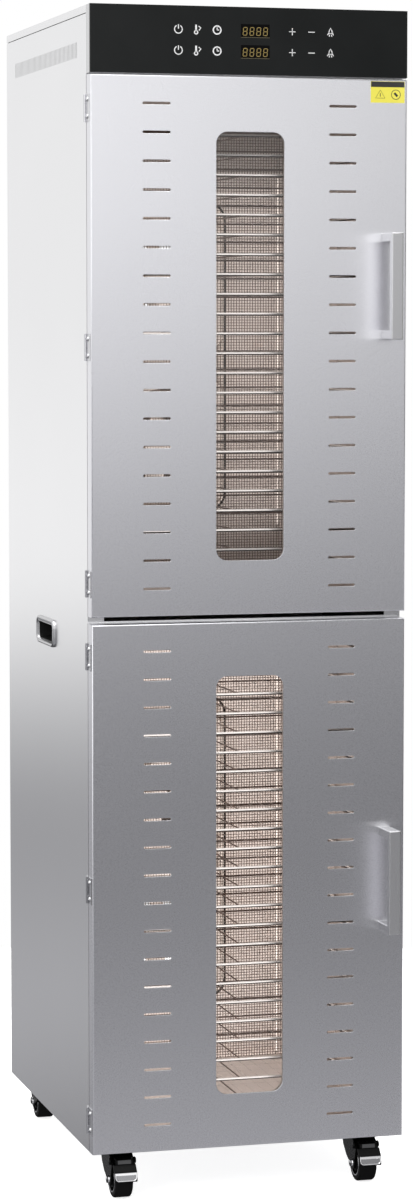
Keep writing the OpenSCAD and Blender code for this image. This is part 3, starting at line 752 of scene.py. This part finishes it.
def caster_dress(corner):
    """Axle nuts, a ring on the wheel's hub and the closed back of the fork."""
    wheel_lo, wheel_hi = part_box(f"caster_wheel_{corner}")
    fork_lo, fork_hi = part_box(f"caster_fork_{corner}")
    axle = (wheel_lo + wheel_hi) / 2
    nut_depth, ring_depth, back_half = 0.003, 0.0004, 0.0134
    nut = [(0.0, 0.0), (0.0054, 0.0), (0.0053, 0.0014), (0.0046, 0.0026), (0.0030, 0.0033), (0.0, 0.0035)]
    nuts = Shape()
    for side, x in ((-1, fork_lo.x + nut_depth), (1, fork_hi.x - nut_depth)):
        nuts.lathe(nut, (x, axle.y, axle.z), (side, 0, 0), 0, 24)
    nuts.finish(f"caster_nuts_{corner}", "chrome", f"caster_{corner}", slot="bright_steel")
    ring = [(0.0165, 0.0), (0.0180, 0.0), (0.0184, 0.0006), (0.0176, 0.0010), (0.0165, 0.0008)]
    rings = Shape()
    for side, x in ((-1, wheel_lo.x), (1, wheel_hi.x)):
        rings.lathe(ring, (x - side * ring_depth, axle.y, axle.z), (side, 0, 0), 0, 48)
    rings.finish(f"caster_hub_rings_{corner}", "chrome", f"wheel_{corner}", slot="bright_steel")
    ahead = -1 if corner[0] == "f" else 1
    swivel, underside = axle.y - ahead * CASTER_TRAIL, wheel_lo.z + CASTER_HEIGHT
    # millimetres from the swivel line and the cabinet's underside
    outline = [(-26.8, -9), (-25, -9), (-24.2, -13.5), (-17.4, -24), (-8.5, -31.5), (-9.7, -33), (-19, -25.2),
               (-26, -14)]
    back = Shape()
    back.loft([[(axle.x + x, swivel + ahead * out / 1000, underside + up / 1000) for out, up in outline]
               for x in (-back_half, back_half)])
    back.finish(f"caster_fork_back_{corner}", "caster", f"caster_{corner}", 0.0003, slot="caster_black")


def brake_pedal(corner):
    """Narrow arm with a grey inlay, a broad foot plate below it and a bright lip at its end."""
    lo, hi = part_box(f"brake_pedal_{corner}")
    wheel_lo, wheel_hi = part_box(f"caster_wheel_{corner}")
    drop = 0.0098
    cx, base = (lo.x + hi.x) / 2, hi.z + drop
    swivel = (wheel_lo.y + wheel_hi.y) / 2 + CASTER_TRAIL

    def at(x, out, up):
        """Point given in millimetres from the pedal's middle, the swivel line and the cabinet's base."""
        return (cx + x / 1000, swivel - out / 1000, base + up / 1000)

    def plate(shape, half, profile):
        shape.loft([[at(x, out, up) for out, up in profile] for x in (-half, half)])

    arm = [(26, -9.8), (38, -10.0), (42.4, -11.0), (43.4, -17.5), (39, -18), (34, -16.8), (26, -13.2)]
    foot = [(41, -17), (44, -17), (46.6, -20.5), (50.2, -24.0), (52.4, -27.5), (54.0, -35.5), (53.4, -38.6),
            (51.6, -39.0), (50.2, -37.5), (49.6, -30.0), (46.4, -25.5), (42, -21)]
    cap = [(0.0, 0.0), (0.0048, 0.0), (0.0048, 0.0014), (0.0036, 0.0022), (0.0, 0.0022)]
    pivot, pin, pin_radius, cap_at = (30, -15), 16.5, 0.0016, 16.2
    body = Shape()
    plate(body, 12.0, arm)
    plate(body, 15.4, foot)
    body.rod(at(-pin, *pivot), at(pin, *pivot), pin_radius, 0, 16)
    for side in (-1, 1):
        body.lathe(cap, at(side * cap_at, *pivot), (side, 0, 0), 0, 24)
    body.finish(f"pedal_body_{corner}", "caster", f"brake_{corner}", 0.0007, 3,
                replaces=[f"brake_pedal_{corner}"], slot="caster_black")
    inlay = Shape()
    plate(inlay, 9.0, [(42.2, -11.4), (42.9, -11.4), (43.7, -16.4), (43.0, -16.4)])
    inlay.finish(f"pedal_inlay_{corner}", "band", f"brake_{corner}", 0.0002, 1, slot="caster_black")

    top, slope = Vector((51.9, -26.2)), Vector((0.20, -0.98)).normalized()
    face = Vector((-slope.y, slope.x))

    def lip_loop(inset, drop, lift):
        """Outline of the lip, drawn in by inset, its top edge lowered by drop and raised by lift."""
        half, tall, r = 14.9 - inset, 11.4 - inset, 5.0 - inset
        points = [(half, drop)] + arc(half - r, tall - r, r, 0, 90, 6)
        points += [(-x, down) for x, down in reversed(points)]
        return [at(x, *(top + slope * down + face * lift)) for x, down in points]

    lip = Shape()
    lip.loft([lip_loop(0, 0, 0), lip_loop(0, 0, 0.7), lip_loop(0.4, 0.4, 1.1), lip_loop(1.0, 3.2, 1.1),
              lip_loop(1.5, 3.7, 0.6)])
    lip.slots[-1] = 1
    lip.finish(f"pedal_lip_{corner}", ["chrome", "lip_face"], f"brake_{corner}", slot="caster_black")


def bearing_cups():
    """Ball race between each caster's plate and its fork."""
    plate = 0.0025
    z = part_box("caster_plates")[1].z - plate
    cup = [(0.0, 0.0), (0.0225, 0.0), (0.0230, 0.0010), (0.0225, 0.0026), (0.0190, 0.0031), (0.0, 0.0031)]
    shape = Shape()
    for corner in CORNERS:
        wheel_lo, wheel_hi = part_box(f"caster_wheel_{corner}")
        trail = CASTER_TRAIL if corner[0] == "f" else -CASTER_TRAIL
        swivel = (wheel_lo.y + wheel_hi.y) / 2 + trail
        shape.lathe(cup, ((wheel_lo.x + wheel_hi.x) / 2, swivel, z), (0, 0, -1), 0, 40)
    shape.finish("caster_bearing_cups", "caster", "cabinet", slot="caster_black")


# ---------- CAD nodes that stay ----------

KEPT = {
    "case": ["left_side_panel", "right_side_panel", "top_cover", "rear_cover", "base_pan", "front_frame"],
    "head": ["control_housing"],
    "chamber": ["upper_liner", "lower_liner", "upper_shelf_racks", "lower_shelf_racks", "temperature_probes"],
    "heater": ["heating_elements"],
    "fan_metal": ["fan_frames", "upper_fan_a", "upper_fan_b", "lower_fan_a", "lower_fan_b"],
    "black": ["cable_gland", "side_grip_cups", "door_magnets"],
    "bright": ["hinge_pins"],
    "bolt": ["caster_bolts"],
    "hinge": ["cabinet_hinge_leaves", "upper_door_hinge_leaves", "lower_door_hinge_leaves"],
    "glass_black": ["control_glass"],
    "film": ["display_modules"],
    "board": ["control_board", "power_board"],
    "caster": ["caster_plates"] + [f"caster_fork_{corner}" for corner in CORNERS],
    "rubber": [f"caster_wheel_{corner}" for corner in CORNERS],
    "window": ["upper_door_glass", "lower_door_glass"],
    "seal": ["upper_door_seal", "lower_door_seal"],
    "yellow": ["door_label"],
}


def dress_kept_nodes():
    """Gives each CAD node that stays its material."""
    for key, names in KEPT.items():
        for name in names:
            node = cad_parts[name]
            node.data.materials.clear()
            node.data.materials.append(MAT[key])


# ---------- stage, light and camera ----------

def studio_world():
    """Bright above the horizon and dim below it, so that the doors shade from light to dark.

    In front the right side is darker than the left. The camera sees plain white instead.
    """
    world = bpy.data.worlds.new("studio")
    bpy.context.scene.world = world
    world.use_nodes = True
    nodes, links = world.node_tree.nodes, world.node_tree.links
    direction = nodes.new("ShaderNodeSeparateXYZ")
    links.new(nodes.new("ShaderNodeTexCoord").outputs["Generated"], direction.inputs["Vector"])

    def along(axis, start, end, low, high):
        """Goes from low to high as the direction goes from start to end along axis."""
        node = nodes.new("ShaderNodeMapRange")
        for name, value in (("From Min", start), ("From Max", end), ("To Min", low), ("To Max", high)):
            node.inputs[name].default_value = value
        links.new(direction.outputs[axis], node.inputs["Value"])
        return node.outputs["Result"]

    def gradient(stops):
        """Colour by height; each stop is a height, a shade and a tint towards blue."""
        colours = nodes.new("ShaderNodeValToRGB")
        while len(colours.color_ramp.elements) < len(stops):
            colours.color_ramp.elements.new(0.5)
        for element, (height, shade, tint) in zip(colours.color_ramp.elements, stops):
            element.position = (height + 1) / 2
            element.color = (shade * (1 - tint), shade * (1 - tint), shade * (1 + tint), 1)
        links.new(along("Z", -1.0, 1.0, 0.0, 1.0), colours.inputs["Fac"])
        return colours.outputs["Color"]

    front = gradient([(-0.40, 0.48, 0.02), (-0.30, 0.60, 0.02), (-0.22, 0.40, 0.02), (-0.16, 0.03, 0.03),
                      (-0.06, 0.40, 0.02), (0.0, 1.05, 0.01), (0.05, 1.18, 0.0), (0.10, 1.16, 0.0),
                      (0.22, 1.02, 0.0), (0.60, 1.0, 0.0), (0.80, 1.7, 0.0)])
    behind = gradient([(-0.40, 0.10, 0.02), (-0.30, 0.05, 0.02), (-0.20, 0.50, 0.02), (-0.14, 0.32, 0.02),
                       (-0.11, 0.62, 0.01), (-0.08, 1.10, 0.0), (0.0, 1.0, 0.0)])
    sides = nodes.new("ShaderNodeMath")
    sides.operation = "MULTIPLY"
    links.new(along("X", 0.08, 0.42, 2.0, 0.0), sides.inputs[0])
    links.new(along("X", -0.30, 0.05, 0.58, 1.0), sides.inputs[1])
    strength = nodes.new("ShaderNodeMix")
    links.new(along("Z", -0.26, -0.04, 0.0, 1.0), strength.inputs["Factor"])
    strength.inputs["A"].default_value = 1.0
    links.new(sides.outputs["Value"], strength.inputs["B"])
    shaded = nodes.new("ShaderNodeVectorMath")
    shaded.operation = "SCALE"
    links.new(front, shaded.inputs["Vector"])
    links.new(strength.outputs["Result"], shaded.inputs["Scale"])
    room = nodes.new("ShaderNodeMix")
    room.data_type = "RGBA"
    links.new(along("Y", -0.3, 0.3, 0.0, 1.0), room.inputs["Factor"])
    links.new(shaded.outputs["Vector"], room.inputs["A"])
    links.new(behind, room.inputs["B"])
    paper = nodes.new("ShaderNodeMix")
    paper.data_type = "RGBA"
    paper.inputs["B"].default_value = (1, 1, 1, 1)
    links.new(nodes.new("ShaderNodeLightPath").outputs["Is Camera Ray"], paper.inputs["Factor"])
    links.new(room.outputs["Result"], paper.inputs["A"])
    links.new(paper.outputs["Result"], nodes["Background"].inputs["Color"])


def floor():
    """Pale disc under the cabinet, left out of the steel's reflections."""
    radius, sides = 1.6, 96
    rim = [(radius * math.cos(2 * math.pi * k / sides), radius * math.sin(2 * math.pi * k / sides), FLOOR_Z)
           for k in range(sides)]
    mesh = bpy.data.meshes.new("floor")
    mesh.from_pydata(rim, [], [tuple(range(sides))])
    paper = plain("floor_paper", (0.88, 0.88, 0.88), (0.92, 0.92, 0.92), 0.8, strength=0.0)
    shader = paper.node_tree.nodes["Principled BSDF"]
    shader.inputs["Emission Color"].default_value = (1, 1, 1, 1)
    shader.inputs["Emission Strength"].default_value = 0.75
    mesh.materials.append(paper)
    piece = bpy.data.objects.new("floor", mesh)
    bpy.context.scene.collection.objects.link(piece)
    piece.visible_glossy = False
    piece.visible_diffuse = False


def area_light(name, place, target, size, power, colour=(1, 1, 1), mirrored=False):
    """Rectangular light that faces target; the camera doesn't see it, and metal only if it is mirrored."""
    data = bpy.data.lights.new(name, "AREA")
    data.shape = "RECTANGLE"
    data.size, data.size_y = size
    data.energy, data.color = power, colour
    light = bpy.data.objects.new(name, data)
    light.location = place
    light.rotation_euler = (Vector(target) - Vector(place)).to_track_quat("-Z", "Y").to_euler()
    light.visible_camera = False
    light.visible_glossy = mirrored
    bpy.context.scene.collection.objects.link(light)


def chamber_lights(zone, tall, rise, rear, front, bed, side):
    """Four warm lights inside a chamber, with the power of each, so that the windows show its trays."""
    warm = (1.0, 0.95, 0.92)
    lo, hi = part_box(f"{zone}_liner")
    cx, cy, cz = (lo.x + hi.x) / 2, (lo.y + hi.y) / 2, (lo.z + hi.z) / 2 + rise
    rear_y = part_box("fan_shrouds")[0].y + 0.0005
    front_x, front_y = -0.07, lo.y + 0.004
    side_x, side_y = lo.x + 0.04, -0.02
    bed_z = lo.z + 0.016
    area_light(f"{zone}_rear_light", (cx, rear_y, cz), (cx, hi.y, cz), (0.372, tall), rear, warm)
    area_light(f"{zone}_front_light", (front_x, front_y, cz), (front_x, hi.y, cz), (0.22, tall), front, warm)
    area_light(f"{zone}_bed_light", (cx, cy, bed_z), (cx, cy, lo.z), (0.34, 0.36), bed, warm)
    area_light(f"{zone}_side_light", (side_x, side_y, cz), (hi.x, side_y, cz), (0.34, tall), side, warm)


def lights():
    """A soft light overhead, a key light from the front left, and the chambers' own."""
    area_light("overhead", (-0.4, -0.6, 3.6), (0, 0, 0), (3.0, 3.0), 60, mirrored=True)
    area_light("key", (-2.6, -2.4, 2.2), (0, 0, 0.9), (1.6, 1.6), 25)
    chamber_lights("upper", tall=0.50, rise=-0.01, rear=0.95, front=0.40, bed=0.04, side=0.4)
    chamber_lights("lower", tall=0.65, rise=0.0, rear=1.75, front=0.65, bed=0.19, side=0.45)


def camera():
    """Stands to the left in front of the cabinet, and looks a little down."""
    left, away, above = 1.2225, 4.2704, 1.0936
    down, turn = 4.656, 15.233
    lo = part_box("lower_door_shell")[0]
    data = bpy.data.cameras.new("camera")
    data.sensor_fit = "AUTO"
    data.sensor_width = 36
    data.lens = 101.28
    data.clip_end = 60
    cam = bpy.data.objects.new("camera", data)
    cam.location = (-left, lo.y - away, lo.z + above)
    cam.rotation_euler = (math.radians(90 - down), 0, math.radians(-turn))
    bpy.context.scene.collection.objects.link(cam)
    bpy.context.scene.camera = cam


# ---------- the scene ----------

camera()
studio_world()
floor()
lights()
dress_kept_nodes()
for zone in ZONES:
    door_shell(zone)
    door_inner(zone)
    door_handle(zone)
    tray_set(zone)
rear_screen_pair()
fan_ducts()
screw_heads()
side_grips()
bearing_cups()
for corner in CORNERS:
    caster_dress(corner)
for corner in ("fl", "fr"):
    brake_pedal(corner)
control_head()
label()
bpy.context.scene.view_settings.view_transform = "Standard"
